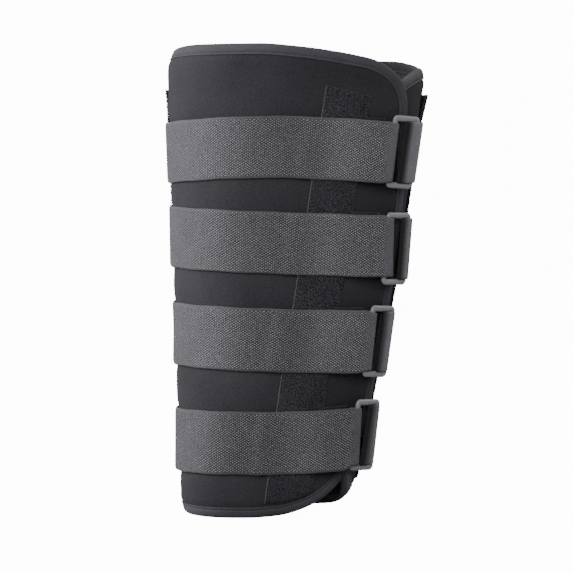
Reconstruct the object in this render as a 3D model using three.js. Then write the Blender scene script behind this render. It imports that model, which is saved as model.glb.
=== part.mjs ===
// Lower leg splint: a padded panel wrapped into a tapered tube and closed by
// four loop pile straps, each folded through a plastic ring.
// Millimetres, +Z up. The front faces -Y, and the flap overlaps towards +X.
// A turn is an angle in degrees round the tube: 0 front, 90 right, 180 back, 270 left.

import * as THREE from 'three';

// Outer face of the tube by height: half width, half depth and middle in X
const SECTIONS = [
	{ z: 0, halfWidth: 69.8, halfDepth: 50.2, middle: -15.5 },
	{ z: 34.5, halfWidth: 74.0, halfDepth: 53.3, middle: -12.8 },
	{ z: 107.5, halfWidth: 82.7, halfDepth: 59.5, middle: -7.4 },
	{ z: 188.5, halfWidth: 91.5, halfDepth: 65.9, middle: 0 },
	{ z: 274.5, halfWidth: 99.5, halfDepth: 71.6, middle: 5.6 },
	{ z: 359.5, halfWidth: 107.0, halfDepth: 77.0, middle: 10.0 },
	{ z: 400, halfWidth: 110.4, halfDepth: 79.5, middle: 12.0 },
];

// Upper and lower edge of the panel along its length, before the corners are rounded
const HEMS = [
	{ turn: 40, top: 376.5, bottom: 13 },
	{ turn: 70, top: 376.5, bottom: 12 },
	{ turn: 92, top: 376.5, bottom: 10 },
	{ turn: 112, top: 380.5, bottom: 5.5 },
	{ turn: 133, top: 383.3, bottom: 1.25 },
	{ turn: 185, top: 384.5, bottom: 1.25 },
	{ turn: 276, top: 393.8, bottom: 1.25 },
	{ turn: 317, top: 396.4, bottom: 1.25 },
	{ turn: 351, top: 396.4, bottom: 1.25 },
	{ turn: 369, top: 393.8, bottom: 1.25 },
	{ turn: 386, top: 389.4, bottom: 1.25 },
	{ turn: 403, top: 383.5, bottom: 1.25 },
	{ turn: 426, top: 374.5, bottom: 1.25 },
];

// Free edge of the flap by height
const FLAP_EDGE = [
	{ z: 0, turn: 424.5 },
	{ z: 101, turn: 425.5 },
	{ z: 187, turn: 426.5 },
	{ z: 262, turn: 426.4 },
	{ z: 342, turn: 419.5 },
	{ z: 400, turn: 415.0 },
];

const PANEL = { start: 40, end: 426, thick: 4.0 };
const FLAP_TOP_CORNER = { turn: 27, height: 40 };
const FLAP_BOTTOM_CORNER = { turn: 61, height: 88 };
const INNER_TOP_CORNER = { turn: 48, height: 42 };
const INNER_BOTTOM_CORNER = { turn: 42, height: 88 };
const OVERLAP = { rise: 5.9, from: 295, to: 373 };       // the flap climbs over the inner layer
const HEM_PULL = { top: 2.5, bottom: 3.5, reach: 16 };   // hems drawn in by the binding
const TUCK = { turn: 94, spread: 32, depth: 6, reach: 42 };  // right foot of the tube, curled in
const EDGE_ROWS = [0, 5, 10, 17];                        // rows of the panel near its hems
const INNER_CORNER_STEPS = 13;
const FLAP_CORNER_STEPS = 9;
const WRAP_STEPS = 41;
const BODY_ROWS = 7;

const SEAT = 0.45;                                       // gap between sewn pieces
const BINDING = { leg: 8, thick: 0.8, noseHalf: 1.2 };

const STRIP = { width: 38, thick: 2.0, rows: 14, columns: 6 };
const FRONT_STRIP = { bottom: 10.5, top: 362, turnBottom: 373.6, turnTop: 383.0, thick: 1.3, hem: 11.2 };
const RIGHT_STRIP = { bottom: 29, top: 354.5, turnBottom: 102, turnTop: 97, thick: STRIP.thick };
const LEFT_STRIP = { bottom: 19, top: 355.5, turnBottom: 236, turnTop: 254, thick: STRIP.thick };

const STRAP = { width: 50, foldWidth: 49.2, thick: 1.8, gap: 0.5, start: 190, steps: 28 };
const STRAP_END = { ramp: 48, straight: 12, tail: 6 };   // lengths before and behind the ring's bar
const RAMP_STEPS = 4;
const FOLD_STEPS = 8;
const LIFT_EDGE = { clear: 8, fade: 18 };                // strap lift beside a strip

// Heights of each strap's centre line at the back, left, front and ring, then its ring:
// turn and lift of the bar that the strap folds round, swing towards the sleeve, roll in its plane
const STRAPS = [
	{ back: 303, left: 304.9, front: 311.1, ring: 307.5, barTurn: 407.6, lift: 4.8, swing: 0, roll: 0 },
	{ back: 235, left: 234.2, front: 230.2, ring: 226.8, barTurn: 411.5, lift: 4.8, swing: 2, roll: 4.6 },
	{ back: 152.5, left: 152.3, front: 149.4, ring: 148.6, barTurn: 409.9, lift: 4.8, swing: 4, roll: 3.6 },
	{ back: 62.5, left: 63.2, front: 65.9, ring: 68.2, barTurn: 411.0, lift: 5.9, swing: 4, roll: 4 },
];
const LEFT_TURN = 270;
const FRONT_TURN = 352;

const RING = { width: 28, height: 60, barWidth: 4.2, barThick: 3.4, corner: 3.6, sides: 8, cornerSteps: 4 };
const BAR_GAP = 0.3;

const LOOP = { width: 48.6, thick: 1.3, gap: 0.9, sewnTurn: 126, ply: 14, plyGap: 0.35 };
const LOOP_STEPS = { side: 7, fold: 10 };
const TAB = { from: 7, length: 12, thick: 1.5, gap: 0.45, peek: 1.6, short: 14, steps: 5 };

// The tube is moved so that its box stands on the origin
const FRAME_SHIFT = { x: -9.02, y: 3.05 };

const { degToRad, lerp, smoothstep, clamp } = THREE.MathUtils;

// Smooth curve through a table that never swings past its rows
function through(rows, from, to) {
	const x = rows.map((row) => row[from]);
	const y = rows.map((row) => row[to]);
	const last = rows.length - 1;
	const rate = (i) => (y[i + 1] - y[i]) / (x[i + 1] - x[i]);
	const slope = (i) => {
		if (i === 0) return rate(0);
		if (i === last) return rate(last - 1);
		const before = rate(i - 1);
		const after = rate(i);
		return before * after > 0 ? 2 * before * after / (before + after) : 0;
	};
	return (at) => {
		const t = clamp(at, x[0], x[last]);
		let i = 0;
		while (i < last - 1 && t > x[i + 1]) i += 1;
		const span = x[i + 1] - x[i];
		const u = (t - x[i]) / span;
		const v = 1 - u;
		const ends = y[i] * v * v * (1 + 2 * u) + y[i + 1] * u * u * (1 + 2 * v);
		return ends + span * u * v * (slope(i) * v - slope(i + 1) * u);
	};
}

const halfWidth = through(SECTIONS, 'z', 'halfWidth');
const halfDepth = through(SECTIONS, 'z', 'halfDepth');
const middle = through(SECTIONS, 'z', 'middle');
const topHem = through(HEMS, 'turn', 'top');
const bottomHem = through(HEMS, 'turn', 'bottom');
const flapEdge = through(FLAP_EDGE, 'z', 'turn');

function hemPull(turn, z) {
	const nearTop = Math.max(0, 1 - (topHem(turn) - z) / HEM_PULL.reach);
	const nearBottom = Math.max(0, 1 - (z - bottomHem(turn)) / HEM_PULL.reach);
	return HEM_PULL.top * nearTop ** 2 + HEM_PULL.bottom * nearBottom ** 2;
}

function footTuck(turn, z) {
	const low = Math.max(0, 1 - z / TUCK.reach);
	const aside = (turn - TUCK.turn) / TUCK.spread;
	return TUCK.depth * low * low * Math.exp(-aside * aside);
}

// Outward direction of the tube, level with the ground
function outward(turn, z) {
	const angle = degToRad(turn);
	const normal = new THREE.Vector3(
		halfDepth(z) * Math.sin(angle),
		-halfWidth(z) * Math.cos(angle),
		0,
	);
	return normal.normalize();
}

// Point on the wrap, lifted off the panel's outer face
function onWrap(turn, z, lift) {
	const angle = degToRad(turn);
	const rise = OVERLAP.rise * smoothstep(turn, OVERLAP.from, OVERLAP.to);
	const point = new THREE.Vector3(
		middle(z) + halfWidth(z) * Math.sin(angle),
		-halfDepth(z) * Math.cos(angle),
		z,
	);
	const inset = hemPull(turn, z) + footTuck(turn, z);
	return point.addScaledVector(outward(turn, z), lift + rise - inset);
}

// Millimetres along the tube for one degree of turn
function stretch(turn, z) {
	const angle = degToRad(turn);
	return degToRad(1) * Math.hypot(halfWidth(z) * Math.cos(angle), halfDepth(z) * Math.sin(angle));
}

// Closed body from vertices and triangles, turned so that its faces point out
function solid(points, triangles) {
	let volume = 0;
	for (const [a, b, c] of triangles) {
		volume += points[a].dot(points[b].clone().cross(points[c]));
	}
	const index = triangles.flatMap(([a, b, c]) => (volume < 0 ? [a, c, b] : [a, b, c]));
	const geometry = new THREE.BufferGeometry().setFromPoints(points);
	geometry.setIndex(index);
	geometry.computeVertexNormals();
	return geometry;
}

function quad(triangles, a, b, c, d) {
	triangles.push([a, b, c], [a, c, d]);
}

// Sheet with an outer and an inner face, at(i, j, face) with face 1 outside and 0 inside
function sheetSolid(columns, rows, at) {
	const points = [];
	const triangles = [];
	const id = (i, j, face) => (face * (columns + 1) + i) * (rows + 1) + j;
	for (const face of [0, 1]) {
		for (let i = 0; i <= columns; i += 1) {
			for (let j = 0; j <= rows; j += 1) points.push(at(i, j, face));
		}
	}
	for (let i = 0; i < columns; i += 1) {
		for (let j = 0; j < rows; j += 1) {
			quad(triangles, id(i, j, 1), id(i + 1, j, 1), id(i + 1, j + 1, 1), id(i, j + 1, 1));
			quad(triangles, id(i, j, 0), id(i, j + 1, 0), id(i + 1, j + 1, 0), id(i + 1, j, 0));
		}
		quad(triangles, id(i, 0, 0), id(i + 1, 0, 0), id(i + 1, 0, 1), id(i, 0, 1));
		quad(triangles, id(i, rows, 1), id(i + 1, rows, 1), id(i + 1, rows, 0), id(i, rows, 0));
	}
	for (let j = 0; j < rows; j += 1) {
		quad(triangles, id(0, j, 0), id(0, j, 1), id(0, j + 1, 1), id(0, j + 1, 0));
		quad(triangles, id(columns, j, 1), id(columns, j, 0), id(columns, j + 1, 0), id(columns, j + 1, 1));
	}
	return solid(points, triangles);
}

// Section swept round a closed path, at(station, k) on the section's outline
function loopSolid(stations, sides, at) {
	const points = [];
	const triangles = [];
	const id = (i, k) => (i % stations) * sides + (k % sides);
	for (let i = 0; i < stations; i += 1) {
		for (let k = 0; k < sides; k += 1) points.push(at(i, k));
	}
	for (let i = 0; i < stations; i += 1) {
		for (let k = 0; k < sides; k += 1) {
			quad(triangles, id(i, k), id(i + 1, k), id(i + 1, k + 1), id(i, k + 1));
		}
	}
	return solid(points, triangles);
}

// Panel: columns run from the inner edge to the flap's edge, rows from hem to hem

function cornerCut(distance, corner) {
	const inside = Math.max(0, 1 - distance / corner.turn);
	return corner.height * (1 - Math.sqrt(1 - inside ** 2));
}

function panelTurns() {
	const turns = [];
	const quarter = (step, steps) => 0.5 * Math.PI * step / steps;
	for (let k = 0; k < INNER_CORNER_STEPS; k += 1) {
		turns.push(PANEL.start + INNER_TOP_CORNER.turn * (1 - Math.cos(quarter(k, INNER_CORNER_STEPS))));
	}
	const wrapStart = PANEL.start + INNER_TOP_CORNER.turn;
	const wrapEnd = PANEL.end - FLAP_BOTTOM_CORNER.turn;
	for (let k = 0; k < WRAP_STEPS; k += 1) {
		turns.push(lerp(wrapStart, wrapEnd, k / WRAP_STEPS));
	}
	for (let k = 0; k <= FLAP_CORNER_STEPS; k += 1) {
		turns.push(wrapEnd + FLAP_BOTTOM_CORNER.turn * Math.sin(quarter(k, FLAP_CORNER_STEPS)));
	}
	return turns;
}

const PANEL_TURNS = panelTurns();
const PANEL_COLUMNS = PANEL_TURNS.length - 1;
const PANEL_ROWS = 2 * (EDGE_ROWS.length - 1) + BODY_ROWS;

// Place of a grid point of the panel as a turn and a height
function panelPlace(i, j) {
	const nominal = PANEL_TURNS[i];
	const toFlap = PANEL.end - nominal;
	const toInner = nominal - PANEL.start;
	const topCut = cornerCut(toFlap, FLAP_TOP_CORNER) + cornerCut(toInner, INNER_TOP_CORNER);
	const bottomCut = cornerCut(toFlap, FLAP_BOTTOM_CORNER) + cornerCut(toInner, INNER_BOTTOM_CORNER);
	const top = topHem(nominal) - topCut;
	const bottom = bottomHem(nominal) + bottomCut;
	const edge = EDGE_ROWS.length - 1;
	let z;
	if (j <= edge) {
		z = bottom + EDGE_ROWS[j];
	} else if (j >= PANEL_ROWS - edge) {
		z = top - EDGE_ROWS[PANEL_ROWS - j];
	} else {
		z = lerp(bottom + EDGE_ROWS[edge], top - EDGE_ROWS[edge], (j - edge) / BODY_ROWS);
	}
	const along = (nominal - PANEL.start) / (PANEL.end - PANEL.start);
	return { turn: lerp(PANEL.start, flapEdge(z), along), z };
}

function sleevePanel() {
	return sheetSolid(PANEL_COLUMNS, PANEL_ROWS, (i, j, face) => {
		const { turn, z } = panelPlace(i, j);
		return onWrap(turn, z, (face - 1) * PANEL.thick);
	});
}

// Binding: a folded tape round the panel's edge, with one leg on each face

function panelEdge() {
	const path = [];
	for (let i = 0; i < PANEL_COLUMNS; i += 1) path.push(panelPlace(i, 0));
	for (let j = 0; j < PANEL_ROWS; j += 1) path.push(panelPlace(PANEL_COLUMNS, j));
	for (let i = PANEL_COLUMNS; i > 0; i -= 1) path.push(panelPlace(i, PANEL_ROWS));
	for (let j = PANEL_ROWS; j > 0; j -= 1) path.push(panelPlace(0, j));
	return path;
}

function edgeBinding() {
	const path = panelEdge();
	const nose = SEAT + BINDING.thick;
	const half = 0.5 * PANEL.thick;
	const section = [
		{ out: -BINDING.leg, lift: half + SEAT },
		{ out: SEAT, lift: half + SEAT },
		{ out: SEAT, lift: -half - SEAT },
		{ out: -BINDING.leg, lift: -half - SEAT },
		{ out: -BINDING.leg, lift: -half - nose },
		{ out: SEAT, lift: -half - nose },
		{ out: nose, lift: -BINDING.noseHalf },
		{ out: nose, lift: BINDING.noseHalf },
		{ out: SEAT, lift: half + nose },
		{ out: -BINDING.leg, lift: half + nose },
	];
	return loopSolid(path.length, section.length, (i, k) => {
		const here = path[i];
		const before = path[(i + path.length - 1) % path.length];
		const after = path[(i + 1) % path.length];
		const scale = stretch(here.turn, here.z);
		const way = new THREE.Vector2((after.turn - before.turn) * scale, after.z - before.z).normalize();
		const { out, lift } = section[k];
		return onWrap(here.turn + way.y * out / scale, here.z - way.x * out, lift - half);
	});
}

// Strips sewn down the panel

function stripTurn(strip, z) {
	return lerp(strip.turnBottom, strip.turnTop, (z - strip.bottom) / (strip.top - strip.bottom));
}

// Lowest height of a strip that stays off the binding, at a turn on the flap
function stripFoot(strip, turn) {
	if (!strip.hem) return strip.bottom;
	return bottomHem(turn) + cornerCut(PANEL.end - turn, FLAP_BOTTOM_CORNER) + strip.hem;
}

function loopStrip(strip) {
	return sheetSolid(STRIP.columns, STRIP.rows, (i, j, face) => {
		const side = (i / STRIP.columns - 0.5) * STRIP.width;
		const footTurn = strip.turnBottom + side / stretch(strip.turnBottom, strip.bottom);
		const z = lerp(stripFoot(strip, footTurn), strip.top, j / STRIP.rows);
		const centre = stripTurn(strip, z);
		return onWrap(centre + side / stretch(centre, z), z, SEAT + face * strip.thick);
	});
}

// Rings: one long bar lies under the strap's fold, the other in the tape loop

function ringFrame(strap) {
	const z = strap.ring;
	const barAt = (height) => onWrap(strap.barTurn, height, strap.lift);
	const bar = barAt(z);
	const up = barAt(z + 1).sub(barAt(z - 1)).normalize();
	const level = outward(strap.barTurn, z);
	const across = up.clone().cross(level).normalize();
	const out = across.clone().cross(up).normalize();
	up.applyAxisAngle(out, degToRad(strap.roll));
	across.applyAxisAngle(out, degToRad(strap.roll));
	across.applyAxisAngle(up, degToRad(strap.swing));
	out.applyAxisAngle(up, degToRad(strap.swing));
	const farBar = bar.clone().addScaledVector(across, RING.width - RING.barWidth);
	return { bar, farBar, across, up, out };
}

function ringPath() {
	const halfAcross = 0.5 * (RING.width - RING.barWidth) - RING.corner;
	const halfUp = 0.5 * (RING.height - RING.barWidth) - RING.corner;
	const path = [];
	const quarters = [[1, 1], [-1, 1], [-1, -1], [1, -1]];
	quarters.forEach(([sideAcross, sideUp], q) => {
		for (let k = 0; k <= RING.cornerSteps; k += 1) {
			const angle = 0.5 * Math.PI * (q + k / RING.cornerSteps);
			path.push({
				across: sideAcross * halfAcross + RING.corner * Math.cos(angle),
				up: sideUp * halfUp + RING.corner * Math.sin(angle),
				angle,
			});
		}
	});
	return path;
}

function ring(frame) {
	const path = ringPath();
	const centre = frame.bar.clone().add(frame.farBar).multiplyScalar(0.5);
	return loopSolid(path.length, RING.sides, (i, k) => {
		const { across, up, angle } = path[i];
		const turn = 2 * Math.PI * (k + 0.5) / RING.sides;
		const wide = 0.5 * RING.barWidth * Math.cos(turn);
		return centre.clone()
			.addScaledVector(frame.across, across + wide * Math.cos(angle))
			.addScaledVector(frame.up, up + wide * Math.sin(angle))
			.addScaledVector(frame.out, 0.5 * RING.barThick * Math.sin(turn));
	});
}

// Ribbon through stations, each with a point and an outward direction for its two edges
function ribbon(stations, thick) {
	return sheetSolid(stations.length - 1, 1, (i, j, face) => {
		const { point, out } = stations[i][j];
		return point.clone().addScaledVector(out, face * thick);
	});
}

// Straps: round the tube, up over the ring's bar, through the slot and back under

function stripLift(strip, turn, z) {
	const off = Math.abs(turn - stripTurn(strip, z)) * stretch(turn, z) - 0.5 * STRIP.width;
	const near = 1 - smoothstep(off, LIFT_EDGE.clear, LIFT_EDGE.fade);
	return near * (SEAT + strip.thick);
}

function strapHeight(strap) {
	return through([
		{ turn: STRAP.start, z: strap.back },
		{ turn: LEFT_TURN, z: strap.left },
		{ turn: FRONT_TURN, z: strap.front },
		{ turn: strap.barTurn, z: strap.ring },
	], 'turn', 'z');
}

const FOLD_RADIUS = 0.5 * RING.barWidth + BAR_GAP;

function strapStations(strap, frame) {
	const height = strapHeight(strap);
	const stations = [];
	const edges = [-0.5 * STRAP.width, 0.5 * STRAP.width];
	const wrapped = (share) => edges.map((edge) => {
		const lean = edge * Math.tan(degToRad(strap.roll)) / stretch(strap.barTurn, strap.ring);
		const endTurn = strap.barTurn - lean;
		const turn = lerp(STRAP.start, endTurn, share);
		const z = height(turn) + edge;
		const toBar = (endTurn - turn) * stretch(turn, z);
		const strips = Math.max(stripLift(FRONT_STRIP, turn, z), stripLift(LEFT_STRIP, turn, z));
		const rest = STRAP.gap + strips;
		const climb = 1 - smoothstep(toBar, 0, STRAP_END.ramp);
		return { point: onWrap(turn, z, lerp(rest, strap.lift + FOLD_RADIUS, climb)), out: outward(turn, z) };
	});
	const straight = STRAP_END.straight / (stretch(strap.barTurn, strap.ring) * (strap.barTurn - STRAP.start));
	const ramp = STRAP_END.ramp / (stretch(strap.barTurn, strap.ring) * (strap.barTurn - STRAP.start));
	for (let k = 0; k <= STRAP.steps; k += 1) stations.push(wrapped((1 - ramp) * k / STRAP.steps));
	for (let k = 1; k <= RAMP_STEPS; k += 1) {
		stations.push(wrapped(lerp(1 - ramp, 1 - straight, k / RAMP_STEPS)));
	}
	const onBar = (angle, back) => edges.map((edge) => {
		const foldEdge = edge * STRAP.foldWidth / STRAP.width;
		const out = frame.out.clone().applyAxisAngle(frame.up, angle);
		const point = frame.bar.clone().addScaledVector(frame.up, foldEdge).addScaledVector(out, FOLD_RADIUS);
		return { point: point.addScaledVector(frame.across, -back), out };
	});
	for (let k = 0; k <= FOLD_STEPS; k += 1) stations.push(onBar(Math.PI * k / FOLD_STEPS, 0));
	stations.push(onBar(Math.PI, STRAP_END.tail));
	return stations;
}

// Hook tabs: sewn to the folded strap end, lying on the flap under the strap

function hookTab(strap) {
	const scale = stretch(strap.barTurn, strap.ring);
	const height = strapHeight(strap);
	const stations = [];
	for (let k = 0; k <= TAB.steps; k += 1) {
		const back = TAB.from + TAB.length * k / TAB.steps;
		const turn = strap.barTurn - back / scale;
		const lean = degToRad(strap.roll);
		stations.push([-0.5 * STRAP.width + TAB.short, 0.5 * STRAP.width + TAB.peek].map((edge) => {
			const z = height(turn) + edge;
			const edgeTurn = turn - edge * Math.tan(lean) / scale;
			return { point: onWrap(edgeTurn, z, TAB.gap), out: outward(edgeTurn, z) };
		}));
	}
	return ribbon(stations, TAB.thick);
}

// Ring loops: tape from the right side, round the ring's outer bar and back on itself

function loopEdge(frame, edge) {
	const bar = frame.farBar.clone().addScaledVector(frame.up, edge);
	const z = bar.z;
	const radius = FOLD_RADIUS;
	const lifted = (turn) => {
		const behind = Math.max(turn, stripTurn(RIGHT_STRIP, z));
		return onWrap(turn, z, LOOP.gap + stripLift(RIGHT_STRIP, behind, z));
	};
	let low = 60;
	let high = 120;
	while (high - low > 0.05) {
		const turn = 0.5 * (low + high);
		const reach = bar.clone().sub(lifted(turn)).dot(outward(turn, z)) + radius;
		if (reach > 0) low = turn; else high = turn;
	}
	const out = outward(low, z);
	const back = new THREE.Vector3(-out.y, out.x, 0);
	const stations = [];
	for (let k = 0; k <= LOOP_STEPS.side; k += 1) {
		const turn = lerp(LOOP.sewnTurn, low, k / LOOP_STEPS.side);
		stations.push({ point: lifted(turn), out: outward(turn, z) });
	}
	const end = { along: LOOP.ply, side: radius - LOOP.plyGap };
	const reach = Math.hypot(end.along, end.side);
	const endAngle = Math.atan2(end.side, end.along) - Math.acos(radius / reach);
	const around = (angle) => {
		const side = back.clone().multiplyScalar(Math.cos(angle));
		return side.addScaledVector(out, Math.sin(angle));
	};
	for (let k = 0; k <= LOOP_STEPS.fold; k += 1) {
		const angle = lerp(0.5 * Math.PI, 2 * Math.PI + endAngle, k / LOOP_STEPS.fold);
		const side = around(angle);
		stations.push({ point: bar.clone().addScaledVector(side, radius), out: side });
	}
	const lastSide = around(endAngle);
	const tip = bar.clone().addScaledVector(back, end.along).addScaledVector(out, end.side);
	stations.push({ point: tip, out: lastSide });
	return stations;
}

function ringLoop(frame) {
	const lower = loopEdge(frame, -0.5 * LOOP.width);
	const upper = loopEdge(frame, 0.5 * LOOP.width);
	return ribbon(lower.map((station, i) => [station, upper[i]]), LOOP.thick);
}

// Materials

const finish = (color, roughness) => new THREE.MeshStandardMaterial({ color, roughness, metalness: 0 });
const foamCloth = finish(0x26262a, 0.92);
const bindingTape = finish(0x3a3a3e, 0.85);
const loopPile = finish(0x202023, 0.97);
const strapPile = finish(0x737376, 0.95);
const ringPlastic = finish(0x6b6b6e, 0.45);
const tapeWeave = finish(0x5c5c60, 0.8);
const hookTape = finish(0x1b1b1d, 0.8);

const splint = new THREE.Group();
splint.position.set(FRAME_SHIFT.x, FRAME_SHIFT.y, 0);

function addPiece(name, geometry, material) {
	const mesh = new THREE.Mesh(geometry, material);
	mesh.name = name;
	splint.add(mesh);
}

addPiece('sleeve_panel', sleevePanel(), foamCloth);
addPiece('edge_binding', edgeBinding(), bindingTape);
addPiece('front_loop_strip', loopStrip(FRONT_STRIP), loopPile);
addPiece('side_strip_left', loopStrip(LEFT_STRIP), loopPile);
addPiece('side_strip_right', loopStrip(RIGHT_STRIP), loopPile);

STRAPS.forEach((strap, i) => {
	const frame = ringFrame(strap);
	addPiece(`strap_${i + 1}`, ribbon(strapStations(strap, frame), STRAP.thick), strapPile);
	addPiece(`ring_${i + 1}`, ring(frame), ringPlastic);
	addPiece(`ring_loop_${i + 1}`, ringLoop(frame), tapeWeave);
	addPiece(`hook_tab_${i + 1}`, hookTab(strap), hookTape);
});

export default splint;
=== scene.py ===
import math
import bpy
import bmesh
import numpy as np
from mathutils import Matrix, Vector


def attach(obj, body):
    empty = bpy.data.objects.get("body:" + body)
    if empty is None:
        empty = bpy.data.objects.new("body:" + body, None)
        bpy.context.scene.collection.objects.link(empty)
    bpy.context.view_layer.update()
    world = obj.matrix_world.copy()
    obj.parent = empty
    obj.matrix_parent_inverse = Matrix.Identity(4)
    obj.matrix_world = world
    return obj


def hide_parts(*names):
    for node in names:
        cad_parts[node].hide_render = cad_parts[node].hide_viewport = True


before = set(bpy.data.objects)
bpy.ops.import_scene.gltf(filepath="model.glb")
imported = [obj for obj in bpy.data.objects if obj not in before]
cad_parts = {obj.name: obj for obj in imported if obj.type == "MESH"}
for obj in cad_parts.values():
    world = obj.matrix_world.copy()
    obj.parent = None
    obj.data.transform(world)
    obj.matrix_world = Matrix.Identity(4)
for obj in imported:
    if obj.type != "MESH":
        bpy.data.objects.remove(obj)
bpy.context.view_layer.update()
print("frame loaded:", len(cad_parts), "nodes")

# Shapes are worked out in millimetres, then scaled and moved into the frame
mm = 0.001
frameShift = np.array([-9.02, 3.05, 0.0])
seat = 0.45  # gap between the panel and what is sewn to it
pieces = {}


def keep(piece, node, slotName):
    pieces[piece.name] = (piece, node, slotName)


# The tube: a turn is an angle in degrees, 0 front, 90 right, 180 back, 270 left
tube = {
    "height": [0, 34.5, 107.5, 188.5, 274.5, 359.5, 400],
    "halfWidth": [69.8, 74.0, 82.7, 91.5, 99.5, 107.0, 110.4],
    "halfDepth": [50.2, 53.3, 59.5, 65.9, 71.6, 77.0, 79.5],
    "middle": [-15.5, -12.8, -7.4, 0, 5.6, 10.0, 12.0],
    "rise": 5.9, "riseOver": (295, 373),  # the flap climbs over the inner layer
    "pullTop": 2.5, "pullBottom": 3.5, "pullReach": 16,  # hems drawn in by the binding
    "leanAt": (98, 26), "leanDepth": 2.2,  # the inner layer's top leans in
    "tuckAt": (94, 32), "tuckDepth": 6, "tuckReach": 42,  # right foot, curled in
    "swellAt": (272, 36),  # the left side sags out a little
    "swellHeight": [0, 30, 65, 110, 150, 190, 270, 350, 372, 395],
    "swell": [2.6, 2.5, 2.1, 1.9, 1.6, 2.8, 2.8, 2.3, 2.1, -3.4],
    "square": 5.5, "squareTurn": 270, "squareOver": (15, 110),  # left front corner of the foot
}
panel = {
    "start": 40, "end": 426, "thick": 4.0,
    "hemTurn": [40, 70, 92, 112, 133, 185, 276, 317, 351, 369, 386, 403, 426],
    "hemTop": [376.6, 376.6, 376.6, 380.0, 383.3, 384.5, 392.4, 395.5, 395.8, 393.2, 388.8, 383.0, 374.2],
    "hemBottom": [18, 17.0, 13.4, 7.6, 4.6, 1.25, 1.25, 1.25, 1.9, 3.8, 4.8, 4.4, 3.6],
    "edgeHeight": [0, 101, 187, 262, 342, 362, 400],
    "edgeTurn": [424.5, 427.0, 425.6, 423.7, 416.5, 417.0, 415.0],
    "flapTop": (27, 36), "flapBottom": (61, 88),  # rounded corners: turn, height
    "innerTop": (48, 42), "innerBottom": (42, 88),
    "columns": 156, "cornerColumns": 30, "rows": 108, "rowEase": 0.35,
    "edgeScale": 1.5, "uvScale": 1.6,  # millimetres a degree, at the ends and in all
}


def curveThrough(xs, ys):
    xs, ys = np.array(xs, float), np.array(ys, float)
    rate = np.diff(ys) / np.diff(xs)
    before, after = rate[:-1], rate[1:]
    same = before * after > 0
    inner = np.where(same, 2 * before * after / np.where(same, before + after, 1), 0)
    slope = np.concatenate([rate[:1], inner, rate[-1:]])

    def at(value):
        t = np.clip(np.asarray(value, float), xs[0], xs[-1])
        i = np.clip(np.searchsorted(xs, t, side="left") - 1, 0, len(xs) - 2)
        span = xs[i + 1] - xs[i]
        u = (t - xs[i]) / span
        v = 1 - u
        ends = ys[i] * v * v * (1 + 2 * u) + ys[i + 1] * u * u * (1 + 2 * v)
        return ends + span * u * v * (slope[i] * v - slope[i + 1] * u)
    return at


halfWidth = curveThrough(tube["height"], tube["halfWidth"])
halfDepth = curveThrough(tube["height"], tube["halfDepth"])
middle = curveThrough(tube["height"], tube["middle"])
topHem = curveThrough(panel["hemTurn"], panel["hemTop"])
bottomHem = curveThrough(panel["hemTurn"], panel["hemBottom"])
flapEdge = curveThrough(panel["edgeHeight"], panel["edgeTurn"])
leftSwell = curveThrough(tube["swellHeight"], tube["swell"])


def smoothStep(value, low, high):
    t = np.clip((np.asarray(value, float) - low) / (high - low), 0, 1)
    return t * t * (3 - 2 * t)


def bell(value, at, spread):
    return np.exp(-((value - at) / spread) ** 2)


def ripples(at, waves):
    return sum(size * np.sin(at * rate + phase) for size, rate, phase in waves)


def lerp(a, b, share):
    return a + (b - a) * share


def unit(v):
    return v / np.maximum(np.linalg.norm(v, axis=-1, keepdims=True), 1e-9)


def wrapNormal(turn, z):
    a, z = np.broadcast_arrays(np.radians(turn), np.asarray(z, float))
    return unit(np.stack([halfDepth(z) * np.sin(a), -halfWidth(z) * np.cos(a), 0 * z], -1))


def wrapPoint(turn, z, lift):
    turn, z, lift = np.broadcast_arrays(*(np.asarray(v, float) for v in (turn, z, lift)))
    a = np.radians(turn)
    point = np.stack([middle(z) + halfWidth(z) * np.sin(a), -halfDepth(z) * np.cos(a), z], -1)
    nearTop = np.maximum(0, 1 - (topHem(turn) - z) / tube["pullReach"])
    nearBottom = np.maximum(0, 1 - (z - bottomHem(turn)) / tube["pullReach"])
    lean = tube["leanDepth"] * bell(turn, *tube["leanAt"])
    inset = (tube["pullTop"] + lean) * nearTop ** 2 + tube["pullBottom"] * nearBottom ** 2
    low = np.maximum(0, 1 - z / tube["tuckReach"])
    inset = inset + tube["tuckDepth"] * low ** 2 * bell(turn, *tube["tuckAt"])
    rise = tube["rise"] * smoothStep(turn, *tube["riseOver"])
    rise = rise + leftSwell(z) * bell(turn, *tube["swellAt"])
    corner = np.sin(np.radians(2 * np.clip(turn - tube["squareTurn"], 0, 90))) ** 2
    rise = rise + tube["square"] * corner * (1 - smoothStep(z, *tube["squareOver"]))
    return point + wrapNormal(turn, z) * (lift + rise - inset)[..., None]


# Millimetres along the tube for one degree of turn
def stretch(turn, z):
    a = np.radians(turn)
    return math.radians(1) * np.hypot(halfWidth(z) * np.cos(a), halfDepth(z) * np.sin(a))


# Mesh helpers
def addObject(name, data):
    made = bpy.data.objects.new(name, data)
    bpy.context.scene.collection.objects.link(made)
    return made


def gridQuads(nu, nv, first=0, flip=False, closed=False):
    i = np.arange(nu if closed else nu - 1)[:, None]
    j = np.arange(nv if closed else nv - 1)[None, :]
    i2, j2 = (i + 1) % nu, (j + 1) % nv
    quads = np.stack([i * nv + j, i2 * nv + j, i2 * nv + j2, i * nv + j2], -1).reshape(-1, 4) + first
    return quads[:, ::-1] if flip else quads


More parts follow.
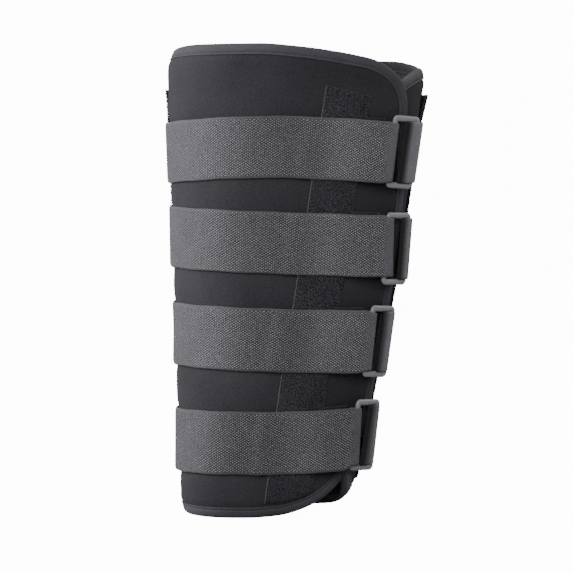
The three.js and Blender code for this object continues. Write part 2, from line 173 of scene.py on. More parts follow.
def makePiece(name, points, faces, material, uv=None):
    mesh = bpy.data.meshes.new(name)
    mesh.from_pydata(((points + frameShift) * mm).tolist(), [], [f.tolist() for f in faces])
    if uv is not None:
        layer = mesh.uv_layers.new(name="UVMap")
        loops = np.empty(len(mesh.loops), np.int32)
        mesh.loops.foreach_get("vertex_index", loops)
        layer.data.foreach_set("uv", uv[loops].astype(np.float32).ravel())
    mesh.materials.append(material)
    mesh.polygons.foreach_set("use_smooth", np.ones(len(mesh.polygons), bool))
    work = bmesh.new()
    work.from_mesh(mesh)
    bmesh.ops.recalc_face_normals(work, faces=work.faces)
    work.to_mesh(mesh)
    work.free()
    mesh.update()
    return addObject(name, mesh)


def closedSheet(name, outer, inner, material, uv=None):
    nu, nv = outer.shape[:2]
    count = nu * nv
    points = np.concatenate([outer.reshape(-1, 3), inner.reshape(-1, 3)])
    i, j = np.arange(nu - 1), np.arange(nv - 1)
    low = np.stack([i * nv + count, (i + 1) * nv + count, (i + 1) * nv, i * nv], -1)
    high = np.stack([i * nv, (i + 1) * nv, (i + 1) * nv + count, i * nv + count], -1) + nv - 1
    first = np.stack([j + count, j, j + 1, j + 1 + count], -1)
    last = np.stack([j, j + count, j + 1 + count, j + 1], -1) + (nu - 1) * nv
    faces = np.concatenate([gridQuads(nu, nv), gridQuads(nu, nv, count, True), low, high, first, last])
    if uv is not None:
        uv = np.concatenate([uv.reshape(-1, 2)] * 2)
    return makePiece(name, points, faces, material, uv)


def sweptLoop(name, rings, material, uv=None):
    faces = gridQuads(*rings.shape[:2], closed=True)
    return makePiece(name, rings.reshape(-1, 3), faces, material, uv)


def joinInto(piece, extra):
    with bpy.context.temp_override(active_object=piece, object=piece, selected_objects=[piece, extra],
                                   selected_editable_objects=[piece, extra]):
        bpy.ops.object.join()


def gridNormals(grid):
    return unit(np.cross(np.gradient(grid, axis=0), np.gradient(grid, axis=1)))


def sampleGrid(grid, i, j):
    i0 = np.clip(np.floor(i).astype(int), 0, grid.shape[0] - 2)
    j0 = np.clip(np.floor(j).astype(int), 0, grid.shape[1] - 2)
    a, b = (i - i0)[:, None], (j - j0)[:, None]
    low = lerp(grid[i0, j0], grid[i0 + 1, j0], a)
    high = lerp(grid[i0, j0 + 1], grid[i0 + 1, j0 + 1], a)
    return lerp(low, high, b)


def setTone(mesh, tone):
    layer = mesh.attributes.new("tone", "FLOAT", "POINT")
    layer.data.foreach_set("value", tone.astype(np.float32).ravel())


# Node helpers: an input is linked where its value is a socket, and set where it isn't
def setInputs(node, values):
    for key, value in values.items():
        if isinstance(value, bpy.types.NodeSocket):
            node.id_data.links.new(value, node.inputs[key])
        else:
            node.inputs[key].default_value = value


def addNode(tree, kind, inputs={}, **settings):
    node = tree.nodes.new(kind)
    for key, value in settings.items():
        setattr(node, key, value)
    setInputs(node, inputs)
    return node


def mathNode(tree, operation, *values):
    return addNode(tree, "ShaderNodeMath", dict(enumerate(values)), operation=operation).outputs[0]


# Geometry Nodes: one small shape on every point, turned to the cloth
def scatterTree(name, shapeNode, shapeInputs, **shapeSettings):
    tree = bpy.data.node_groups.new(name, "GeometryNodeTree")
    sockets = {"Points": "Geometry", "Shape Size": "Vector", "Size Jitter": "Float", "Seed": "Int",
               "Material": "Material"}
    for key, kind in sockets.items():
        tree.interface.new_socket(key, in_out="INPUT", socket_type="NodeSocket" + kind)
    tree.interface.new_socket("Geometry", in_out="OUTPUT", socket_type="NodeSocketGeometry")
    given = addNode(tree, "NodeGroupInput").outputs
    shape = addNode(tree, shapeNode, shapeInputs, **shapeSettings)
    sized = addNode(tree, "GeometryNodeTransform",
                    {"Geometry": shape.outputs["Mesh"], "Scale": given["Shape Size"]})
    facing, along = (addNode(tree, "GeometryNodeInputNamedAttribute", {"Name": key}, data_type="FLOAT_VECTOR")
                     for key in ("facing", "along"))
    turned = addNode(tree, "FunctionNodeAxesToRotation",
                     {"Primary Axis": facing.outputs["Attribute"],
                      "Secondary Axis": along.outputs["Attribute"]},
                     primary_axis="Z", secondary_axis="X")
    least, most = (mathNode(tree, way, 1.0, given["Size Jitter"]) for way in ("SUBTRACT", "ADD"))
    jitter = addNode(tree, "FunctionNodeRandomValue", {2: least, 3: most, "Seed": given["Seed"]},
                     data_type="FLOAT")
    placed = addNode(tree, "GeometryNodeInstanceOnPoints",
                     {"Points": given["Points"], "Instance": sized.outputs["Geometry"],
                      "Rotation": turned.outputs["Rotation"], "Scale": jitter.outputs[1]})
    real = addNode(tree, "GeometryNodeRealizeInstances", {"Geometry": placed.outputs["Instances"]})
    smooth = addNode(tree, "GeometryNodeSetShadeSmooth", {"Geometry": real.outputs["Geometry"]})
    painted = addNode(tree, "GeometryNodeSetMaterial",
                      {"Geometry": smooth.outputs["Geometry"], "Material": given["Material"]})
    addNode(tree, "NodeGroupOutput", {"Geometry": painted.outputs["Geometry"]})
    return tree


nubShape = {"Segments": 6, "Rings": 2, "Radius": 1.0}
tuftShape = {"Vertices": 4, "Radius Top": 0.25, "Radius Bottom": 1.0, "Depth": 1.0}
stitchShape = {"Segments": 6, "Rings": 4, "Radius": 1.0}
nubTree = scatterTree("pile nubs", "GeometryNodeMeshUVSphere", nubShape)
tuftTree = scatterTree("pile tufts", "GeometryNodeMeshCone", tuftShape, fill_type="NONE")
stitchTree = scatterTree("stitches", "GeometryNodeMeshUVSphere", stitchShape)


# Grows small shapes of one size and jitter, and joins them to the piece
def growOn(piece, part, tree, points, facing, along, material, size, jitter, seed, tone=None):
    name = piece.name + part
    mesh = bpy.data.meshes.new(name)
    mesh.from_pydata(((points + frameShift) * mm).tolist(), [], [])
    for key, values in (("facing", facing), ("along", along)):
        layer = mesh.attributes.new(key, "FLOAT_VECTOR", "POINT")
        layer.data.foreach_set("vector", values.astype(np.float32).ravel())
    setTone(mesh, np.ones(len(points)) if tone is None else tone)
    holder = addObject(name, mesh)
    grow = holder.modifiers.new("scatter", "NODES")
    grow.node_group = tree
    sockets = {s.name: s.identifier for s in tree.interface.items_tree if s.in_out == "INPUT"}
    grow[sockets["Shape Size"]] = [s * mm for s in size]
    grow[sockets["Size Jitter"]] = jitter
    grow[sockets["Seed"]] = seed
    grow[sockets["Material"]] = material
    evaluated = holder.evaluated_get(bpy.context.evaluated_depsgraph_get())
    made = bpy.data.meshes.new_from_object(evaluated)
    holder.modifiers.clear()
    holder.data = made
    joinInto(piece, holder)


def sew(piece, points, facing, along, stitch, seed):
    growOn(piece, "Stitches", stitchTree, points, facing, along, threadGrey, *stitch, seed)


# Shader groups shared by the cloths
def newGroup(name, inputs, outputs):
    group = bpy.data.node_groups.new(name, "ShaderNodeTree")
    group.interface.new_socket("Vector", in_out="INPUT", socket_type="NodeSocketVector")
    for way, keys in (("INPUT", inputs), ("OUTPUT", outputs)):
        for key in keys:
            group.interface.new_socket(key, in_out=way, socket_type="NodeSocketFloat")
    return group, addNode(group, "NodeGroupInput").outputs


# A colour mix takes its colours on sockets 6 and 7, and gives the result on 2
def multiplied(tree, colour, by, share):
    mix = addNode(tree, "ShaderNodeMix", {0: share, 6: colour, 7: by}, data_type="RGBA",
                  blend_type="MULTIPLY")
    return mix.outputs[2]


def napGroup():
    group, given = newGroup("clothNap", ["Grain", "Cloud", "Cloud Share"], ["Shade", "Height"])
    shades = []
    for key, detail in (("Grain", 3.0), ("Cloud", 4.0)):
        noise = addNode(group, "ShaderNodeTexNoise",
                        {"Vector": given["Vector"], "Scale": given[key], "Detail": detail})
        shades.append(noise.outputs["Fac"])
    mix = addNode(group, "ShaderNodeMix", {0: given["Cloud Share"], 2: shades[0], 3: shades[1]})
    addNode(group, "NodeGroupOutput", {"Shade": mix.outputs[0], "Height": shades[0]})
    return group


def weaveGroup():
    group, given = newGroup("tapeWeave", ["Warp Pitch", "Weft Pitch"], ["Height"])
    split = addNode(group, "ShaderNodeSeparateXYZ", {0: given["Vector"]})
    waves = []
    for axis, key in enumerate(("Warp Pitch", "Weft Pitch")):
        share = mathNode(group, "DIVIDE", split.outputs[axis], given[key])
        waves.append(mathNode(group, "SINE", mathNode(group, "MULTIPLY", share, 2 * math.pi)))
    both = mathNode(group, "MULTIPLY", *waves)
    addNode(group, "NodeGroupOutput", {"Height": mathNode(group, "MULTIPLY_ADD", both, 0.5, 0.5)})
    return group


clothNap = napGroup()
tapeWeave = weaveGroup()
finishShape = {"roughSpread": 0.06, "sheenRough": 0.5, "napUnderWeave": 0.4, "weaveDim": 0.45}


# One cloth or plastic finish, whose linear grey runs between two shades, the darker first
def finish(name, tint, shades, rough, grain, cloud, cloudShare=0.4, bump=0.3, depth=0.0002, weave=None,
           sheen=0.0, specular=0.3, shadeRange=(0.35, 0.65), toned=False):
    material = bpy.data.materials.new(name)
    material.use_nodes = True
    tree = material.node_tree
    place = addNode(tree, "ShaderNodeTexCoord").outputs
    napInputs = {"Vector": place["Object"], "Grain": grain, "Cloud": cloud, "Cloud Share": cloudShare}
    nap = addNode(tree, "ShaderNodeGroup", napInputs, node_tree=clothNap).outputs
    tone = addNode(tree, "ShaderNodeValToRGB", {"Fac": nap["Shade"]})
    for stop, position, level in zip(tone.color_ramp.elements, shadeRange, shades):
        stop.position = position
        stop.color = [level * t for t in tint] + [1.0]
    colour, height = tone.outputs["Color"], nap["Height"]
    # The tone attribute multiplies the colour: painted light and shade on the binding, straps and tape loops,
    # and the rib's lighter colour
    if toned:
        toneAndLight = addNode(tree, "ShaderNodeAttribute", attribute_name="tone")
        colour = multiplied(tree, colour, toneAndLight.outputs["Fac"], 1.0)
    if weave:
        weaveInputs = {"Vector": place["UV"], "Warp Pitch": weave[0], "Weft Pitch": weave[1]}
        woven = addNode(tree, "ShaderNodeGroup", weaveInputs, node_tree=tapeWeave).outputs["Height"]
        faintNap = mathNode(tree, "MULTIPLY", height, finishShape["napUnderWeave"])
        height = mathNode(tree, "ADD", faintNap, woven)
        colour = multiplied(tree, colour, woven, finishShape["weaveDim"])
    low, high = rough - finishShape["roughSpread"], min(1.0, rough + finishShape["roughSpread"])
    worn = addNode(tree, "ShaderNodeMapRange", {"Value": nap["Shade"], "To Min": low, "To Max": high})
    rise = addNode(tree, "ShaderNodeBump", {"Height": height, "Strength": bump, "Distance": depth})
    setInputs(tree.nodes["Principled BSDF"], {
        "Base Color": colour, "Roughness": worn.outputs["Result"], "Normal": rise.outputs["Normal"],
        "Specular IOR Level": specular, "Sheen Weight": sheen, "Sheen Roughness": finishShape["sheenRough"]})
    return material


plain = (1.0, 1.0, 1.0)
cool = (1.0, 0.945, 1.13)  # the black cloths lean a little to violet
coolGrey = (1.0, 0.965, 1.065)
foamCloth = finish("foamCloth", cool, (0.022, 0.050), rough=0.9, grain=1100, cloud=16, bump=0.35,
                   depth=0.0003, sheen=0.02, specular=0.15, shadeRange=(0.33, 0.67))
bindingCloth = finish("bindingCloth", cool, (0.062, 0.112), rough=0.85, grain=1800, cloud=30, cloudShare=0.3,
                      bump=0.4, weave=(0.0011, 0.0011), sheen=0.03, specular=0.2, toned=True)
loopBacking = finish("loopBacking", cool, (0.045, 0.085), rough=0.85, grain=1500, cloud=60, sheen=0.03,
                     specular=0.15)
loopTufts = finish("loopTufts", cool, (0.024, 0.046), rough=0.95, grain=700, cloud=60, cloudShare=0.3,
                   bump=0.2, specular=0.1)
strapBase = finish("strapBase", coolGrey, (0.145, 0.20), rough=0.88, grain=1500, cloud=40, cloudShare=0.35,
                   bump=0.4, weave=(0.0012, 0.0012), sheen=0.03, specular=0.15, toned=True)
strapNubs = finish("strapNubs", coolGrey, (0.25, 0.355), rough=0.88, grain=1200, cloud=60, cloudShare=0.35,
                   bump=0.2, sheen=0.03, specular=0.15, toned=True)
ringPlastic = finish("ringPlastic", coolGrey, (0.265, 0.32), rough=0.42, grain=2600, cloud=45, bump=0.12,
                     depth=0.0001, specular=0.45)
tapeCloth = finish("tapeCloth", coolGrey, (0.185, 0.285), rough=0.85, grain=1600, cloud=50, cloudShare=0.35,
                   bump=0.5, depth=0.0003, weave=(0.0022, 0.0016), sheen=0.03, specular=0.2, toned=True)
hookCloth = finish("hookCloth", plain, (0.024, 0.042), rough=0.7, grain=1500, cloud=60)
threadGrey = finish("threadGrey", cool, (0.040, 0.075), rough=0.75, grain=2500, cloud=80, depth=0.0001)
print("finishes ready")


# Straps and their rings, from the top down; a pair is for the lower and the upper edge
strapTable = {
    "width": (51.2, 51.6, 53.0, 53.2),
    "back": (304, 236, 153.5, 62.5),  # heights of the strap's centre line
    "left": (305.9, 235.4, 153.4, 63.3),
    "front": (311.5, 232.3, 151.2, 64.5),
    "ring": (307.7, 226.7, 149.2, 69.8),  # height of the ring's middle
    "end": (-1.1, 1.9, -0.3, -2.8),  # strap's end, above the ring's middle
    "barTurn": (406.7, 411.5, 409.5, 411.0),  # place of the bar that the strap folds round
    "lift": (4.8, 4.8, 4.8, 5.9),
    "swing": (0, 2, 4, 4),  # ring's angles about its bar, in its plane and inwards
    "roll": (0, 2.0, 1.8, 2.2),
    "pitch": (0, -3.0, -2.0, -2.2),
    "inset": (1.3, -0.6, 1.3, 1.6),  # bow of the ring's far bar
    "reach": ((0.4, 0.6), (6.4, 2.4), (3.8, 1.2), (5.0, 0.2)),  # how far the fold passes the bar
    "slack": ((12.0, 10.0), (7.5, 7.0), (7.5, 7.5), (11.5, 8.0)),  # slack of the tape loop
    "flare": ((0.3, 0.3), (0.7, -0.3), (1.2, -0.3), (2.8, 0.2)),  # strap's edges off the left side
    "shade": ((51.5, 5), (51, 8), (52, 10), (49, 8)),  # painted shade on the tape loop: first row, rows
    # painted light along each strap: shift of its curve in turns, and its gain
    "pileShift": (0, 3, -2, 5),
    "pileGain": (1.0, 0.97, 0.98, 0.88),
}
strapRows = [dict(zip(strapTable, values)) for values in zip(*strapTable.values())]
strap = {
    "foldWidth": 49.2, "thick": 1.15, "gap": 0.5, "start": 190, "leftTurn": 270, "frontTurn": 352,
    "ramp": 48, "straight": 7, "endShift": 1, "reachEdge": 25, "freeEdge": 1, "wander": (0.18, 0.21),
    "rim": [0.5, 0.49, 0.47, 0.44, 0.42], "columns": 15, "rows": 180, "foldRows": 26,
    "bridge": (0.2, 0.9, 5), "tail": (1, 6, 5),  # first, last and number of rows
    "edgeRound": 0.9, "edgeThin": 0.12, "selvedge": 2.4, "groove": 0.22, "grooveIn": 0.3,
    "grooveSpread": 0.35, "pileFrom": 0.6, "pileTo": 0.2, "flareAt": (266, 26),
    "frontFade": (8, 18), "leftFade": (2, 10),  # where the strap comes down beside a strip
}


def strapHeight(row):
    turns = [strap["start"], strap["leftTurn"], strap["frontTurn"], row["barTurn"]]
    return curveThrough(turns, [row["back"], row["left"], row["front"], row["ring"] + row["end"]])


def underStrap(turn, z):
    under = np.zeros(np.shape(turn), bool)
    for row in strapRows:
        near = np.abs(z - strapHeight(row)(turn)) < 0.5 * row["width"] - strap["freeEdge"]
        under |= (turn > strap["start"]) & near
    return under


# Padded panel: pressed under the straps, full beside the binding, slow waves between
pad = {
    "wave": 0.168, "broad": (2.7, 0.017, 0), "fine": (5.3, -0.041, 1.1), "fineShare": 0.7,
    "inside": (4, 0.03, 0), "insideDepth": 0.15,
    "press": 0.9, "pressOver": (-2, 7), "strapOver": (184, 192), "bulge": 0.25, "bulgeAt": (13, 7),
    "puff": 0.5, "puffAt": (12.5, 3.5), "bound": 9.5, "sink": 0.1,
}


def cornerCut(distance, corner):
    inside = np.clip(1 - distance / corner[0], 0, 1)
    return corner[1] * (1 - np.sqrt(1 - inside ** 2))


def panelEnds(nominal):
    toFlap, toInner = panel["end"] - nominal, nominal - panel["start"]
    top = topHem(nominal) - cornerCut(toFlap, panel["flapTop"]) - cornerCut(toInner, panel["innerTop"])
    bottom = bottomHem(nominal) + cornerCut(toFlap, panel["flapBottom"])
    return bottom + cornerCut(toInner, panel["innerBottom"]), top


def panelPlace(nominal, share):
    bottom, top = panelEnds(nominal)
    z = lerp(bottom, top, share)
    along = (nominal - panel["start"]) / (panel["end"] - panel["start"])
    return lerp(panel["start"], flapEdge(z), along), z


def slowWave(turn, z, wave):
    perTurn, perHeight, phase = wave
    return np.sin(np.radians(perTurn * turn) + perHeight * z + phase)


def padForm(turn, z, toEdge):
    fine = pad["fineShare"] * slowWave(turn, z, pad["fine"])
    form = pad["wave"] * (slowWave(turn, z, pad["broad"]) + fine)
    begun = smoothStep(turn, *pad["strapOver"])
    for row in strapRows:
        off = np.abs(z - strapHeight(row)(turn)) - 0.5 * row["width"]
        under = (1 - smoothStep(off, *pad["pressOver"])) * begun
        form = form * (1 - under) - pad["press"] * under
        form = form + pad["bulge"] * bell(off, *pad["bulgeAt"]) * begun
    form = form + pad["puff"] * bell(toEdge, *pad["puffAt"])
    form = np.where(toEdge < pad["bound"], np.minimum(form, -pad["sink"]), form)
    return form * smoothStep(toEdge, 0, pad["bound"]) - pad["sink"]


def sleevePanel():
    ends = np.linspace(0, 0.5 * np.pi, panel["cornerColumns"])
    innerTurn, flapTurn = panel["innerTop"][0], panel["flapBottom"][0]
    innerEnd, flapStart = panel["start"] + innerTurn, panel["end"] - flapTurn
    nominal = np.unique(np.concatenate([
        panel["start"] + innerTurn * (1 - np.cos(ends)),
        np.linspace(innerEnd, flapStart, panel["columns"]),
        flapStart + flapTurn * np.sin(ends)]))
    rows = np.linspace(0, 1, panel["rows"])
    share = lerp(rows, smoothStep(rows, 0, 1), panel["rowEase"])
    turn, z = panelPlace(nominal[:, None], share[None, :])
    bottom, top = panelEnds(nominal[:, None])
    toSide = np.minimum(panel["end"] - nominal, nominal - panel["start"])[:, None] * panel["edgeScale"]
    toEdge = np.minimum(np.minimum(z - bottom, top - z), toSide)
    outer = wrapPoint(turn, z, padForm(turn, z, toEdge))
    uneven = pad["insideDepth"] * slowWave(turn, z, pad["inside"])
    inner = wrapPoint(turn, z, uneven - panel["thick"])
    uv = np.stack([turn * panel["uvScale"], z], -1) * mm
    return closedSheet("sleevePanel", outer, inner, foamCloth, uv)


keep(sleevePanel(), "sleeve_panel", "foam_cloth")
print("padded panel ready")


# Tape helpers: places across and along a tape, its thickness, and its flat places for the weave
def tapeEdge(shape, width):
    rim = np.array(shape["rim"])
    inner = np.linspace(-rim[-1], rim[-1], shape["columns"])
    return np.concatenate([-rim[:-1], inner, rim[-2::-1]]) * width


def tapeThick(shape, edge):
    inwards = (edge[-1] - np.abs(edge)) / shape["edgeRound"]
    return shape["thick"] * np.sqrt(np.clip(inwards, shape["edgeThin"], 1))


def lengthAlong(grid):
    line = grid[:, grid.shape[1] // 2]
    return np.concatenate([[0], np.cumsum(np.linalg.norm(np.diff(line, axis=0), axis=1))])


def flatPlaces(along, across):
    return np.stack(np.broadcast_arrays(along[:, None], across[None, :]), -1) * mm


def gridIndex(value, marks):
    return np.interp(value, marks, np.arange(len(marks)))


def clothFrame(outer, normals, i, j, aheadI, aheadJ):
    points = sampleGrid(outer, i, j)
    ahead = unit(sampleGrid(outer, i + aheadI, j + aheadJ) - points)
    return points, unit(sampleGrid(normals, i, j)), ahead


# Binding tape folded round the panel's edge, with a row of stitches on each face
binding = {
    "step": 1.5, "pathSteps": 1500, "look": 1.2,
    "section": [(-8.1, 0.10), (-8.15, 0.55), (-7.9, 0.85), (-7.4, 0.98), (-6.9, 0.82), (-6.5, 0.42),
                (-5.8, 0.42), (-5.4, 0.80), (-4.6, 1.06), (-3.2, 1.22), (-1.6, 1.25), (-0.3, 1.12),
                (0.5, 0.62), (1.0, -0.25), (1.22, -1.2)],  # outwards from the edge, off the panel
    "hiddenIn": -8.0, "hiddenOut": 0.3, "hiddenLift": 0.05,
    "tuck": 0.09, "tuckAt": (-6.2, 1.1), "tuckAbove": 0.2,
    "sway": ((0.06, 0.11, 0), (0.042, 0.047, 2)), "swayOver": (-5.8, -3.5), "swayAbove": 0.5,
    # painted light on the inner layer's tape, and painted shade on the inside face near the top
    "insideTone": 0.45, "cornerTone": 0.45, "footTone": 0.9, "toneHeight": (280, 340), "toneTurn": (90, 115),
    "stitchPitch": 3.4, "stitchAt": -6.15, "stitchLift": 0.52, "stitchAhead": 0.8,
    "stitch": ((1.15, 0.32, 0.26), 0.08), "seed": 11,  # size and jitter
}


def edgePath():
    dense = np.linspace(0, 1, binding["pathSteps"])
    ease = 0.5 - 0.5 * np.cos(np.pi * dense)
    nominal = lerp(panel["start"], panel["end"], ease)
    sides = [panelPlace(nominal, 0 * dense), panelPlace(0 * dense + panel["end"], dense),
             panelPlace(nominal[::-1], 0 * dense + 1), panelPlace(0 * dense + panel["start"], dense[::-1])]
    turn = np.concatenate([side[0][:-1] for side in sides])
    z = np.concatenate([side[1][:-1] for side in sides])
    length = np.hypot(np.diff(turn, append=turn[0]) * stretch(turn, z), np.diff(z, append=z[0]))
    s = np.concatenate([[0], np.cumsum(length)])
    return s, np.append(turn, turn[0]), np.append(z, z[0])


def edgeBinding():
    s, turn, z = edgePath()
    count = int(s[-1] / binding["step"])
    at = np.arange(count) * s[-1] / count
    half = 0.5 * panel["thick"]

    def frameAt(places):
        places = np.mod(places, s[-1])
        hereTurn, hereZ = np.interp(places, s, turn), np.interp(places, s, z)
        a, b = np.mod(places - binding["look"], s[-1]), np.mod(places + binding["look"], s[-1])
        scale = stretch(hereTurn, hereZ)
        wayTurn = (np.interp(b, s, turn) - np.interp(a, s, turn)) * scale
        wayZ = np.interp(b, s, z) - np.interp(a, s, z)
        return hereTurn, hereZ, scale, unit(np.stack([wayTurn, wayZ], -1))

    def place(places, out, lift):
        hereTurn, hereZ, scale, way = frameAt(places)
        return wrapPoint(hereTurn + way[:, 1] * out / scale, hereZ - way[:, 0] * out, lift - half)

    outer = [(out, half + lift) for out, lift in binding["section"]]
    inner = [(out, -lift) for out, lift in outer[::-1]]
    innerEnd, outerEnd, lie = binding["hiddenIn"], binding["hiddenOut"], half + binding["hiddenLift"]
    section = outer + inner + [(innerEnd, -lie), (outerEnd, -lie), (outerEnd, lie), (innerEnd, lie)]
    tuck = binding["tuck"] * np.sin(2 * np.pi * at / binding["stitchPitch"])
    sway = ripples(at, binding["sway"])
    rings = []
    for out, lift in section:
        over = abs(lift) - half
        form = 0 * at
        if over > binding["tuckAbove"]:
            form = form + bell(out, *binding["tuckAt"]) * tuck
        if over > binding["swayAbove"]:
            form = form + smoothStep(out, *binding["swayOver"]) * sway
        rings.append(place(at, out, lift + math.copysign(1, lift) * form))
    around = np.cumsum([0] + [math.dist(a, b) for a, b in zip(section[:-1], section[1:])])
    uv = flatPlaces(at, around).reshape(-1, 2)
    piece = sweptLoop("edgeBinding", np.stack(rings, 1), bindingCloth, uv)

    # Painted light and shade: the inner layer's tape is painted brighter, as if it caught more light, and the
    # inside face is painted dark near the top, as shade
    high = smoothStep(np.interp(at, s, z), *binding["toneHeight"])
    innerLayer = 1 - smoothStep(np.interp(at, s, turn), *binding["toneTurn"])
    tone = 1 + innerLayer * lerp(binding["footTone"], binding["cornerTone"], high)
    tone = np.repeat(tone, len(rings)).reshape(count, -1)
    tone[:, len(outer):] *= lerp(1, binding["insideTone"], high)[:, None]
    setTone(piece.data, tone)

    rows = np.arange(0, s[-1] - 1, binding["stitchPitch"])
    facing = wrapNormal(*frameAt(rows)[:2])
    for side in (1, -1):
        lift = side * (half + binding["stitchLift"])
        points = place(rows, binding["stitchAt"], lift)
        along = unit(place(rows + binding["stitchAhead"], binding["stitchAt"], lift) - points)
        sew(piece, points, side * facing, along, binding["stitch"], binding["seed"] + side)
    return piece


keep(edgeBinding(), "edge_binding", "binding_tape")
print("binding ready")


# Loop strips: a backing tape with sewn edges, covered in short tufts
strips = {
    "width": 38, "columns": 23, "rows": 130, "backing": 0.5, "under": 0.15, "edgeRound": 1.2,
    "edgeThin": 0.55, "ragged": ((0.12, 260, 0), (0.08, 141, 1)), "raggedRim": 0.1, "pressed": 0.8,
    "tuftPitch": 1.02, "selvedge": 0.8, "tuftStray": (0.3, 0.35), "tuftRim": 0.5,
    "tuftEnds": (0.002, 0.998), "tuftLean": 0.38, "tuftWide": 0.55, "tuftSink": 0.1, "tuftJitter": 0.22,
    "ribWidth": 0.9, "ribRise": 0.8, "ribArch": [0.25, 0.85, 1.0, 0.85, 0.25], "ribUnder": 0.1,
    "ribTone": 0.52, "stitchPitch": 3.0, "stitchEnd": 3, "stitchIn": 1.9, "stitchSink": 0.35,
    "stitchAhead": 0.002, "stitch": ((1.05, 0.30, 0.24), 0.1), "stitchSeed": 40,
}
stripRows = {
    "frontLoopStrip": {"node": "front_loop_strip", "bottom": 10.5, "top": 362, "turnBottom": 373.6,
                       "turnTop": 383.0, "thick": 1.3, "seed": 21, "hem": 11.2, "topSlope": 8.5, "bow": -1.2,
                       "rib": True},
    "sideStripLeft": {"node": "side_strip_left", "bottom": 19, "top": 359.3, "turnBottom": 236,
                      "turnTop": 254, "thick": 2.0, "seed": 22, "curl": (0.9, 14)},
    "sideStripRight": {"node": "side_strip_right", "bottom": 29, "top": 355.3, "turnBottom": 102,
                       "turnTop": 97, "thick": 2.0, "seed": 23, "curl": (3.0, 30)},
}


def stripTurn(strip, z):
    share = (z - strip["bottom"]) / (strip["top"] - strip["bottom"])
    return lerp(strip["turnBottom"], strip["turnTop"], share) + strip.get("bow", 0) * 4 * share * (1 - share)


def stripCurl(strip, z):
    curl, reach = strip.get("curl", (0, 1))
    return curl * np.clip(1 - (strip["top"] - z) / reach, 0, 1)


def stripPlace(strip, side, share):
    footTurn = strip["turnBottom"] + side / stretch(strip["turnBottom"], strip["bottom"])
    foot = 0 * footTurn + strip["bottom"]
    if "hem" in strip:
        foot = bottomHem(footTurn) + cornerCut(panel["end"] - footTurn, panel["flapBottom"]) + strip["hem"]
    slope = strip.get("topSlope", 0) * (side / strips["width"] + 0.5)
    z = lerp(foot, strip["top"] - slope, share)
    centre = stripTurn(strip, z)
    return centre + side / stretch(centre, z), z


def addTufts(piece, strip):
    random = np.random.default_rng(strip["seed"])
    half, inset, pitch = 0.5 * strips["width"], strips["selvedge"], strips["tuftPitch"]
    length = strip["top"] - strip["bottom"]
    across = np.arange(-half + inset, half - inset + 0.01, pitch)
    down = np.arange(inset, length - inset, pitch) / length
    side, share = (q.ravel() for q in np.meshgrid(across, down, indexing="ij"))
    strayAcross, strayDown = strips["tuftStray"]
    rim = half - strips["tuftRim"]
    side = np.clip(side + random.normal(0, strayAcross, len(side)), -rim, rim)
    share = np.clip(share + random.normal(0, strayDown, len(side)) / length, *strips["tuftEnds"])
    turn, z = stripPlace(strip, side, share)
    free = ~underStrap(turn, z)  # the straps press the pile flat
    turn, z = turn[free], z[free]
    points = wrapPoint(turn, z, seat + strips["backing"] - strips["tuftSink"] + stripCurl(strip, z))
    facing = unit(wrapNormal(turn, z) + random.normal(0, strips["tuftLean"], (len(turn), 3)))
    along = unit(random.normal(0, 1, (len(turn), 3)))
    size = (strips["tuftWide"], strips["tuftWide"], strip["thick"] - strips["backing"])
    growOn(piece, "Tufts", tuftTree, points, facing, along, loopTufts, size, strips["tuftJitter"],
           strip["seed"])


def addRib(piece, strip, share):
    side = np.linspace(-0.5, 0.5, len(strips["ribArch"])) * strips["ribWidth"] - 0.5 * strips["width"]
    turn, z = stripPlace(strip, side[:, None], share[None, :])
    arch = strips["ribRise"] * np.array(strips["ribArch"])[:, None]
    under = wrapPoint(turn, z, seat - strips["ribUnder"])
    rib = closedSheet(piece.name + "Rib", wrapPoint(turn, z, seat + arch), under, tapeCloth)
    # The rib is a raised selvedge, coloured lighter than the strip, partly as a painted highlight along the
    # strip's left edge
    setTone(rib.data, np.full(len(rib.data.vertices), strips["ribTone"]))
    joinInto(piece, rib)


def addStripStitches(piece, strip):
    length, end = strip["top"] - strip["bottom"], strips["stitchEnd"]
    rows = np.arange(end, length - end, strips["stitchPitch"]) / length
    for edgeSide in (-1, 1):
        side = edgeSide * (0.5 * strips["width"] - strips["stitchIn"]) + 0 * rows
        turn, z = stripPlace(strip, side, rows)
        free = ~underStrap(turn, z)
        turn, z = turn[free], z[free]
        lift = seat + strip["thick"] - strips["stitchSink"] + stripCurl(strip, z)
        points = wrapPoint(turn, z, lift)
        ahead = wrapPoint(*stripPlace(strip, side[free], rows[free] + strips["stitchAhead"]), lift)
        sew(piece, points, wrapNormal(turn, z), unit(ahead - points), strips["stitch"],
            strip["seed"] + strips["stitchSeed"])


def loopStrip(name, strip):
    half = 0.5 * strips["width"]
    side = np.linspace(-half, half, strips["columns"])[:, None]
    share = np.linspace(0, 1, strips["rows"])
    ragged = ripples(share, strips["ragged"])[None, :] * np.sign(side)
    sides = side + np.where(np.abs(side) > half - strips["raggedRim"], ragged, 0)
    turn, z = stripPlace(strip, sides, share[None, :])
    curl = stripCurl(strip, z)
    edge = np.clip((half - np.abs(side)) / strips["edgeRound"], 0, 1)
    backing = strips["backing"] * lerp(strips["edgeThin"], 1, np.sqrt(edge))
    outer = wrapPoint(turn, z, seat + backing + curl)
    inner = wrapPoint(turn, z, seat - strips["under"] + curl)
    piece = closedSheet(name, outer, inner, loopBacking, np.stack([sides, z], -1) * mm)
    addTufts(piece, strip)
    if strip.get("rib"):
        addRib(piece, strip, share)
    addStripStitches(piece, strip)
    return piece


for name, strip in stripRows.items():
    keep(loopStrip(name, strip), strip["node"], "loop_pile")
print("loop strips ready")


